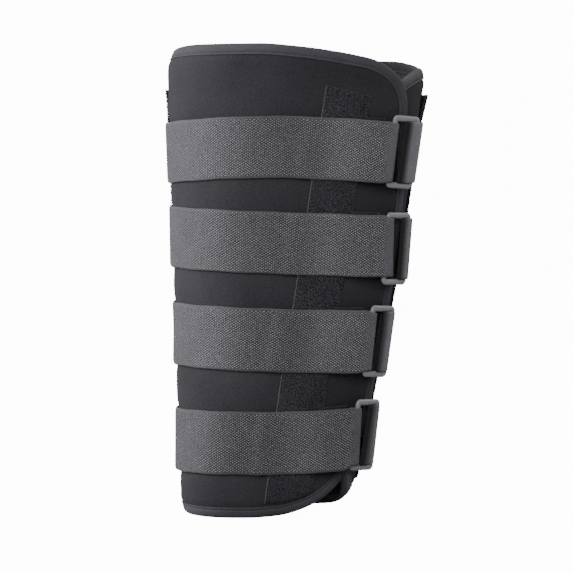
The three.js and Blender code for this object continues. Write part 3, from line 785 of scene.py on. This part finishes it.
# Rings: a moulded frame with rounded bars
ring = {
    "width": 28, "height": 60, "barWidth": 4.2, "barThick": 3.4, "corner": 2.3, "gap": 0.3,
    "cornerSteps": 12, "sideSteps": 10, "sectionSteps": 20, "squareness": 0.72,
    "armGain": 0.18, "armReach": 1.5, "farThin": 0.28, "farReach": 5, "mouldLine": 0.06, "mouldSpan": 0.2,
}
foldRadius = 0.5 * ring["barWidth"] + ring["gap"]


def turnAbout(v, axis, degrees):
    a = math.radians(degrees)
    return v * math.cos(a) + np.cross(axis, v) * math.sin(a) + axis * np.dot(axis, v) * (1 - math.cos(a))


def ringFrame(row):
    turn, z, lift = row["barTurn"], row["ring"], row["lift"]
    bar = wrapPoint(turn, z, lift)
    up = unit(wrapPoint(turn, z + 1, lift) - wrapPoint(turn, z - 1, lift))
    across = unit(np.cross(up, wrapNormal(turn, z)))
    out = unit(np.cross(across, up))
    up, across = turnAbout(up, out, row["roll"]), turnAbout(across, out, row["roll"])
    up, out = turnAbout(up, across, row["pitch"]), turnAbout(out, across, row["pitch"])
    across, out = turnAbout(across, up, row["swing"]), turnAbout(out, up, row["swing"])
    farBar = bar + across * (ring["width"] - ring["barWidth"])
    return {"bar": bar, "up": up, "across": across, "out": out, "farBar": farBar, "inset": row["inset"]}


# Middle line of the frame: places across and up, and the angle that faces outwards
def ringPath(halfAcross, halfUp):
    corner, sides = ring["corner"], [(1, 1), (-1, 1), (-1, -1), (1, -1)]

    def onCorner(quarter, a):
        sideAcross, sideUp = sides[quarter % 4]
        return np.array([sideAcross * (halfAcross - corner) + corner * math.cos(a),
                         sideUp * (halfUp - corner) + corner * math.sin(a)])

    path = []
    for quarter in range(4):
        for k in range(ring["cornerSteps"] + 1):
            a = 0.5 * math.pi * (quarter + k / ring["cornerSteps"])
            path.append((*onCorner(quarter, a), a))
        for k in range(1, ring["sideSteps"]):
            share = k / ring["sideSteps"]
            path.append((*lerp(onCorner(quarter, a), onCorner(quarter + 1, a), share), a))
    return path


def squared(value):
    return 0.5 * math.copysign(abs(value) ** ring["squareness"], value)


def ringPiece(name, place):
    halfAcross, halfUp = 0.5 * (ring["width"] - ring["barWidth"]), 0.5 * (ring["height"] - ring["barWidth"])
    centre = 0.5 * (place["bar"] + place["farBar"])
    armFrom = halfUp - ring["armReach"]
    rings = []
    for across, up, a in ringPath(halfAcross, halfUp):
        onFar = smoothStep(across, halfAcross - ring["armReach"], halfAcross)
        onFar = onFar * (1 - smoothStep(abs(up), halfUp - ring["farReach"], armFrom))
        gain = 1 - ring["farThin"] * onFar + ring["armGain"] * smoothStep(abs(up), armFrom, halfUp)
        section = []
        for k in range(ring["sectionSteps"]):
            t = 2 * math.pi * (k + 0.5) / ring["sectionSteps"]
            c, s = math.cos(t), math.sin(t)
            wide, deep = ring["barWidth"] * squared(c) * gain, ring["barThick"] * squared(s)
            if abs(s) < ring["mouldSpan"]:
                wide += math.copysign(ring["mouldLine"], c)
            sideways = across - place["inset"] * onFar + wide * math.cos(a)
            upwards = up + wide * math.sin(a)
            section.append(centre + place["across"] * sideways + place["up"] * upwards + place["out"] * deep)
        rings.append(section)
    return sweptLoop(name, np.array(rings), ringPlastic)


# Straps: round the tube, over the ring's bar, through the slot and back under
nubs = {
    "alongPitch": 1.68, "acrossPitch": 2.12, "first": 3, "stray": 0.03, "stagger": 0.5, "sink": 0.3,
    "lean": 11, "leanStray": 0.04, "leanRows": 3, "size": (0.95, 0.55, 0.55), "jitter": 0.08,
    "onFold": 8, "flatFrom": 15, "flatTo": 5, "flatBase": 0.92, "ahead": 0.4, "seed": 50,
}
# Painted light along a strap: the pile is painted brighter and darker by turn, where the light falls more and
# less
strapLightTurn = [190, 315, 347, 366, 386, 402, 420]
strapLight = curveThrough(strapLightTurn, [0.93, 1.06, 0.76, 0.82, 1.22, 1.10, 1.08])
pileSmooth = {"over": (285, 335), "nub": 0.6, "base": 0.78}  # flattened pile on the left side
baseTone = {"pile": 0.53, "selvedge": 0.8}
sewnBox = {
    "start": 2.5, "end": 25, "half": 21.5, "pitch": 3.0, "alongFrom": 3, "acrossFrom": 20, "lift": 0.35,
    "stitch": ((1.2, 0.36, 0.34), 0.08),
}


def stripLift(strip, turn, z, rise, fade):
    off = np.abs(turn - stripTurn(strip, z)) * stretch(turn, z) - 0.5 * strips["width"]
    return (1 - smoothStep(off, *fade)) * (seat + rise)


def strapGrid(row, place):
    edge = tapeEdge(strap, row["width"])
    scale = stretch(row["barTurn"], row["ring"])
    endTurn = (row["barTurn"] - edge * math.tan(math.radians(row["roll"])) / scale)[None, :]
    straight = strap["straight"] / (scale * (row["barTurn"] - strap["start"]))
    share = np.linspace(0, 1 - straight, strap["rows"])[:, None]
    turn = lerp(strap["start"], endTurn, share)
    wander, wanderRate = strap["wander"]
    z = strapHeight(row)(turn) + edge[None, :] + wander * np.sin(turn * wanderRate + row["back"])
    toBar = (endTurn - turn) * stretch(turn, z)
    pressed = strips["pressed"]
    lifts = np.maximum(stripLift(stripRows["frontLoopStrip"], turn, z, pressed, strap["frontFade"]),
                       stripLift(stripRows["sideStripLeft"], turn, z, pressed, strap["leftFade"]))
    flare = np.interp(edge, [edge[0], edge[-1]], row["flare"])[None, :]
    lifts = lifts + flare * bell(turn, *strap["flareAt"])
    climb = 1 - smoothStep(toBar, 0, strap["ramp"])
    wrapped = wrapPoint(turn, z, lerp(strap["gap"] + lifts, row["lift"] + foldRadius, climb))

    endShift = np.clip(row["end"], -strap["endShift"], strap["endShift"])
    foldEdge = edge * strap["foldWidth"] / row["width"] + endShift
    bar = place["bar"] + foldEdge[None, :, None] * place["up"]
    reach = np.interp(edge, [-strap["reachEdge"], strap["reachEdge"]], row["reach"])[None, :, None]
    angle = np.linspace(0, math.pi, strap["foldRows"])[:, None, None]
    outwards = place["out"] * foldRadius
    fold = bar + outwards * np.cos(angle) + place["across"] * (foldRadius + reach) * np.sin(angle)
    tail = bar - outwards - place["across"] * np.linspace(*strap["tail"])[:, None, None]
    bridge = lerp(wrapped[-1:], fold[:1], np.linspace(*strap["bridge"])[:, None, None])
    grid = np.concatenate([wrapped, bridge, fold, tail])
    turns = np.interp(np.arange(len(grid)), [0, len(share)], [strap["start"], row["barTurn"]])
    return grid, edge, turns, len(share) + len(bridge)


def addNubs(piece, row, cloth, pileEnd, flat, toneAndLight, seed):
    outer, normals, s, edge = cloth
    alongCount = int((pileEnd - nubs["first"]) / nubs["alongPitch"])
    acrossCount = int((row["width"] - 2 * strap["selvedge"]) / nubs["acrossPitch"]) + 1
    a, b = (q.ravel() for q in np.meshgrid(np.arange(alongCount), np.arange(acrossCount), indexing="ij"))
    random = np.random.default_rng(seed)
    sAt = nubs["first"] + a * nubs["alongPitch"] + random.normal(0, nubs["stray"], len(a))
    column = b - 0.5 * (acrossCount - 1) + nubs["stagger"] * (a % 2 - 0.5)
    eAt = column * nubs["acrossPitch"] + random.normal(0, nubs["stray"], len(a))
    i, j = gridIndex(sAt, s), gridIndex(eAt, edge)
    points, facing, ahead = clothFrame(outer, normals, i, j, nubs["ahead"], 0)
    points = points - facing * nubs["sink"] * np.interp(sAt, s, flat)[:, None]
    sign = np.where(a // nubs["leanRows"] % 2 == 0, 1, -1)[:, None]
    lean = np.radians(nubs["lean"]) * sign + random.normal(0, nubs["leanStray"], (len(a), 1))
    along = ahead * np.cos(lean) + unit(np.cross(facing, ahead)) * np.sin(lean)
    growOn(piece, "Nubs", nubTree, points, facing, along, strapNubs, nubs["size"], nubs["jitter"], seed,
           np.interp(i, np.arange(len(toneAndLight)), toneAndLight))


# Sewn down at the back by a box of stitches
def addSewnBox(piece, cloth, seed):
    outer, normals, s, edge = cloth
    start, end, half, pitch = sewnBox["start"], sewnBox["end"], sewnBox["half"], sewnBox["pitch"]
    down, across = np.arange(sewnBox["alongFrom"], end, pitch), sewnBox["acrossFrom"]
    box = [(q, e, 0) for e in (-half, half) for q in down]
    box += [(q, e, 1) for q in (start, end) for e in np.arange(-across, across + 0.1, pitch)]
    sAt, eAt, crosswise = np.array(box).T
    i, j = gridIndex(sAt, s), gridIndex(eAt, edge)
    points, facing, ahead = clothFrame(outer, normals, i, j, nubs["ahead"], 0)
    along = np.where(crosswise[:, None] > 0.5, np.cross(facing, ahead), ahead)
    sew(piece, points + facing * sewnBox["lift"], facing, along, sewnBox["stitch"], seed)


def strapPiece(name, row, place, seed):
    grid, edge, turns, foldStart = strapGrid(row, place)
    normals, s = gridNormals(grid), lengthAlong(grid)
    away, pileRim = np.abs(edge), edge[-1] - strap["selvedge"]
    groove = strap["groove"] * bell(away, pileRim - strap["grooveIn"], strap["grooveSpread"])
    outer = grid + normals * (tapeThick(strap, edge) - groove)[None, :, None]
    piece = closedSheet(name, outer, grid, strapBase, flatPlaces(s, edge))

    onPile = 1 - smoothStep(away, pileRim - strap["pileFrom"], pileRim + strap["pileTo"])
    # Painted light along the strap, by turn, on its base and its nubs
    toneAndLight = row["pileGain"] * strapLight(turns + row["pileShift"])
    rough = smoothStep(turns, *pileSmooth["over"])
    between = lerp(pileSmooth["base"], baseTone["pile"], rough)
    base = toneAndLight[:, None] * lerp(baseTone["selvedge"], between[:, None], onPile[None, :])
    toneAndLight = toneAndLight * lerp(pileSmooth["nub"], 1, rough)
    pileEnd = s[foldStart + nubs["onFold"]]
    flat = smoothStep(s, pileEnd - nubs["flatFrom"], pileEnd - nubs["flatTo"])
    base = lerp(base, toneAndLight[:, None] * nubs["flatBase"], flat[:, None])
    setTone(piece.data, np.concatenate([base, base]))

    cloth = (outer, normals, s, edge)
    addNubs(piece, row, cloth, pileEnd, flat, toneAndLight, seed)
    addSewnBox(piece, cloth, seed)
    return piece


# Tape loops that hold the rings to the right side
loop = {
    "width": 51.4, "thick": 1.0, "gap": 0.9, "sewnTurn": 126, "ply": 14, "plyGap": 0.35, "plyTuck": 0.2,
    "rim": [0.5, 0.49, 0.47, 0.44], "columns": 11, "edgeRound": 0.7, "edgeThin": 0.15, "fade": (8, 18),
    "leaves": (60.0, 120.0), "close": 0.02,  # turns between which the tape leaves the panel
    "panelRows": 40, "freeRows": (0.1, 0.9, 8), "foldRows": 30, "plyRows": (0.2, 1, 6), "slackPower": 0.8,
    # painted light and shade along the tape loop, by row
    "dim": [1.0, 1.25, 1.15, 0.45, 0.10], "dimBefore": 4,
    "stitchRows": (3.0, 16.0), "stitchPitch": 3, "stitchHalf": 22, "stitchLift": 0.1, "stitchAhead": 0.3,
    "stitch": ((1.2, 0.34, 0.3), 0.08), "seed": 60,
}


def loopEdge(place, edge, slack):
    bar = place["farBar"] + place["up"] * edge - place["across"] * place["inset"]
    z = bar[2]
    strip = stripRows["sideStripRight"]

    def lifted(turn):
        overStrip = np.maximum(turn, stripTurn(strip, z))
        return wrapPoint(turn, z, loop["gap"] + stripLift(strip, overStrip, z, strip["thick"], loop["fade"]))

    low, high = loop["leaves"]
    while high - low > loop["close"]:
        turn = 0.5 * (low + high)
        if np.dot(bar - lifted(turn), wrapNormal(turn, z)) + foldRadius > 0:
            low = turn
        else:
            high = turn
    out = wrapNormal(low, z)
    back = np.array([-out[1], out[0], 0])
    path = [lifted(t) for t in np.linspace(loop["sewnTurn"], low, loop["panelRows"])]
    leave, meet = path[-1], bar + out * foldRadius
    path += [lerp(leave, meet, k) for k in np.linspace(*loop["freeRows"])]
    side = foldRadius - loop["plyGap"] - loop["plyTuck"]
    endAngle = math.atan2(side, loop["ply"]) - math.acos(foldRadius / math.hypot(loop["ply"], side))
    for a in np.linspace(0.5 * math.pi, 2 * math.pi + endAngle, loop["foldRows"]):
        loose = place["across"] * slack * max(0.0, -math.cos(a)) ** loop["slackPower"]
        path.append(bar + foldRadius * (back * math.cos(a) + out * math.sin(a)) - loose)
    last, tip = path[-1], bar + back * loop["ply"] + out * side
    path += [lerp(last, tip, k) for k in np.linspace(*loop["plyRows"])]
    return np.array(path)


def ringLoop(name, row, place, seed):
    edge = tapeEdge(loop, loop["width"])
    slacks = np.interp(edge, [edge[0], edge[-1]], row["slack"])
    grid = np.stack([loopEdge(place, e, slack) for e, slack in zip(edge, slacks)], 1)
    normals, s = -gridNormals(grid), lengthAlong(grid)
    outer = grid + normals * tapeThick(loop, edge)[None, :, None]
    piece = closedSheet(name, outer, grid, tapeCloth, flatPlaces(s, edge))
    # Painted shade: the tape is painted dark where it curls round the far bar into the ring's slot, and a
    # little brighter just before, as painted light
    first, rows = row["shade"]
    shadeAt = [0, first - loop["dimBefore"], first, first + 0.5 * rows, first + rows]
    dim = np.repeat(np.interp(np.arange(len(grid)), shadeAt, loop["dim"]), len(edge))
    setTone(piece.data, np.concatenate([dim, dim]))

    across = np.arange(-loop["stitchHalf"], loop["stitchHalf"] + 0.1, loop["stitchPitch"])
    sAt, eAt = np.array([(q, e) for q in loop["stitchRows"] for e in across]).T
    i, j = gridIndex(sAt, s), gridIndex(eAt, edge)
    points, facing, along = clothFrame(outer, normals, i, j, 0, loop["stitchAhead"])
    sew(piece, points + facing * loop["stitchLift"], facing, along, loop["stitch"], seed)
    return piece


# Hook tabs under the strap ends
tab = {
    "from": 7, "length": 22, "thick": 1.0, "gap": 0.45, "peek": 2.2, "short": 14, "rows": 14, "columns": 30,
    "hookPitch": (1.15, 1.0), "hookFrom": 0.5, "hookTo": 1.4, "hookAhead": 0.3, "hookLean": 0.3,
    "hookSize": (0.3, 0.3, 0.7), "hookJitter": 0.1, "seed": 70,
}


def hookTab(name, row, seed):
    scale = stretch(row["barTurn"], row["ring"])
    back = np.linspace(tab["from"], tab["from"] + tab["length"], tab["rows"])[:, None]
    half = 0.5 * row["width"]
    edge = np.linspace(-half + tab["short"], half + tab["peek"], tab["columns"])[None, :]
    turn = row["barTurn"] - back / scale
    z = strapHeight(row)(turn) + edge
    turn = turn - edge * math.tan(math.radians(row["roll"])) / scale
    inner = wrapPoint(turn, z, tab["gap"])[::-1]
    outer = wrapPoint(turn, z, tab["gap"] + tab["thick"])[::-1]
    piece = closedSheet(name, outer, inner, hookCloth)
    marks = [np.arange(tab["hookFrom"], count - tab["hookTo"], pitch)
             for count, pitch in zip(outer.shape, tab["hookPitch"])]
    i, j = (q.ravel() for q in np.meshgrid(*marks, indexing="ij"))
    points, facing, along = clothFrame(outer, outer - inner, i, j, tab["hookAhead"], 0)
    growOn(piece, "Hooks", tuftTree, points, unit(facing + tab["hookLean"] * along), along, hookCloth,
           tab["hookSize"], tab["hookJitter"], seed)
    return piece


for n, row in enumerate(strapRows, 1):
    place = ringFrame(row)
    keep(ringPiece(f"ring{n}", place), f"ring_{n}", "ring_plastic")
    keep(strapPiece(f"strap{n}", row, place, nubs["seed"] + n), f"strap_{n}", "strap_pile")
    keep(ringLoop(f"ringLoop{n}", row, place, loop["seed"] + n), f"ring_loop_{n}", "tape_weave")
    keep(hookTab(f"hookTab{n}", row, tab["seed"] + n), f"hook_tab_{n}", "hook_tape")
print("straps, rings, loops and tabs ready")

for piece, node, slotName in pieces.values():
    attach(piece, "root")
    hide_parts(node)


# Studio: pale floor that runs up into a backdrop, soft light mostly from the left
studio = {
    "halfWidth": 6.0, "floor": 3.2, "bend": 1.2, "bendSteps": 16, "wall": 3.0, "aim": (0, 0, 0.2),
    "world": 0.06, "paperLit": 0.28, "paperSeen": 0.9, "paperRough": 0.9, "paperGlow": 13.0,
    "key": {"at": (-2.1, 0.25, 0.75), "size": 1.4, "watts": 76},
    "front": {"at": (-0.35, -1.7, 1.2), "size": 1.4, "watts": 31},
    "rim": {"at": (1.5, 0.7, 0.8), "size": 0.8, "watts": 14},
    "top": {"at": (0.0, 0.1, 2.2), "size": 1.2, "watts": 10},
}


# The paper glows white only where the camera sees it, so that it doesn't light the splint
def backdropPaper():
    paper = bpy.data.materials.new("backdropPaper")
    paper.use_nodes = True
    tree = paper.node_tree
    lit, seen = tree.nodes["Principled BSDF"], addNode(tree, "ShaderNodeBsdfPrincipled")
    for shader, grey in ((lit, studio["paperLit"]), (seen, studio["paperSeen"])):
        setInputs(shader, {"Base Color": (grey, grey, grey, 1), "Roughness": studio["paperRough"],
                           "Specular IOR Level": 0.0})
    setInputs(seen, {"Emission Color": (1, 1, 1, 1), "Emission Strength": studio["paperGlow"]})
    toCamera = addNode(tree, "ShaderNodeLightPath").outputs["Is Camera Ray"]
    mix = addNode(tree, "ShaderNodeMixShader", {0: toCamera, 1: lit.outputs[0], 2: seen.outputs[0]})
    setInputs(tree.nodes["Material Output"], {"Surface": mix.outputs[0]})
    return paper


def backdrop():
    half, bend = studio["halfWidth"], studio["bend"]
    bendStart = studio["floor"] - bend
    profile = [(-half, 0.0), (bendStart, 0.0)]
    for k in range(1, studio["bendSteps"] + 1):
        a = 0.5 * math.pi * k / studio["bendSteps"]
        profile.append((bendStart + bend * math.sin(a), bend * (1 - math.cos(a))))
    profile.append((studio["floor"], studio["wall"]))
    count = len(profile)
    mesh = bpy.data.meshes.new("backdrop")
    points = [(x, y, z) for x in (-half, half) for y, z in profile]
    mesh.from_pydata(points, [], [(i, i + count, i + count + 1, i + 1) for i in range(count - 1)])
    mesh.polygons.foreach_set("use_smooth", np.ones(len(mesh.polygons), bool))
    mesh.materials.append(backdropPaper())
    made = addObject("backdrop", mesh)


def areaLight(name, light):
    lamp = bpy.data.lights.new(name, "AREA")
    lamp.shape, lamp.size, lamp.energy = "SQUARE", light["size"], light["watts"]
    made = addObject(name, lamp)
    made.location = light["at"]
    made.rotation_euler = (Vector(studio["aim"]) - made.location).to_track_quat("-Z", "Y").to_euler()


backdrop()
for name in ("key", "front", "rim", "top"):
    areaLight(name + "Light", studio[name])
world = bpy.data.worlds.new("studioWorld")
world.use_nodes = True
setInputs(world.node_tree.nodes["Background"], {"Color": (1, 1, 1, 1), "Strength": studio["world"]})
bpy.context.scene.world = world

# Camera above the middle, tipped down a little
view = {
    "distance": 2.6, "height": 0.33, "focalPixels": 3060.0, "imagePixels": 573.0, "horizonPixel": 124.5,
    "centrePixel": 285.0, "sensor": 36.0, "clipEnd": 50,
}
lens = bpy.data.cameras.new("photoCamera")
lens.sensor_width = view["sensor"]
lens.lens = view["focalPixels"] / view["imagePixels"] * view["sensor"]
lens.clip_end = view["clipEnd"]
camera = addObject("photoCamera", lens)
aside = (0.5 * view["imagePixels"] - view["centrePixel"]) * view["distance"] / view["focalPixels"]
camera.location = (frameShift[0] * mm + aside, frameShift[1] * mm - view["distance"], view["height"])
tip = math.atan((view["horizonPixel"] - 0.5 * view["imagePixels"]) / view["focalPixels"])
camera.rotation_euler = (0.5 * math.pi + tip, 0, 0)
bpy.context.scene.camera = camera
print("studio ready")
